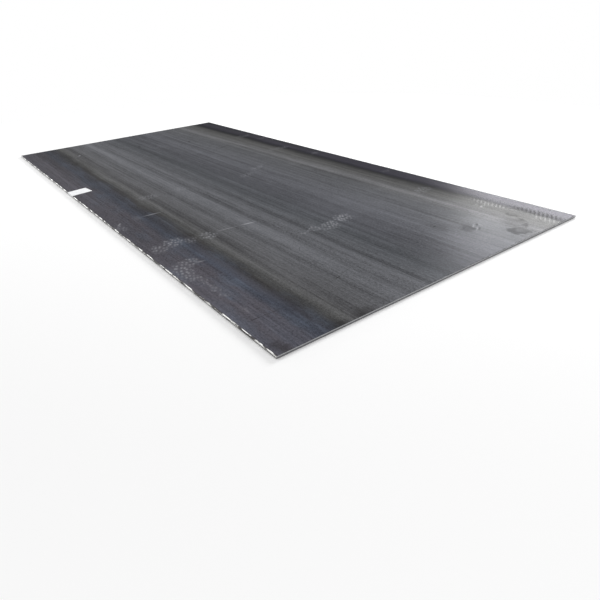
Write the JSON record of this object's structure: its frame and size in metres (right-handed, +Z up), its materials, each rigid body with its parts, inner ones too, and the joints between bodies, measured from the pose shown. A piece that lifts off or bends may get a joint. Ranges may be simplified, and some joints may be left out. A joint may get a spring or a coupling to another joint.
{
  "type": "steel plate",
  "caption": "Flat rectangular hot-rolled steel plate with rounded mill edges, sheared ends and a blank paper label; raw stock for cutting, bending and welding.",
  "frame": {"origin": "middle of the underside", "axes": "+X along the rolling direction, which is the length; +Y across the width; +Z up through the thickness"},
  "size_m": [3, 1.5002, 0.0103],
  "materials": {
    "mill_scale_steel": "satin",
    "label_paper": "matte"
  },
  "bodies": {
    "root": {"steel_plate": "mill_scale_steel", "paper_label": "label_paper"}
  },
  "joints": []
}
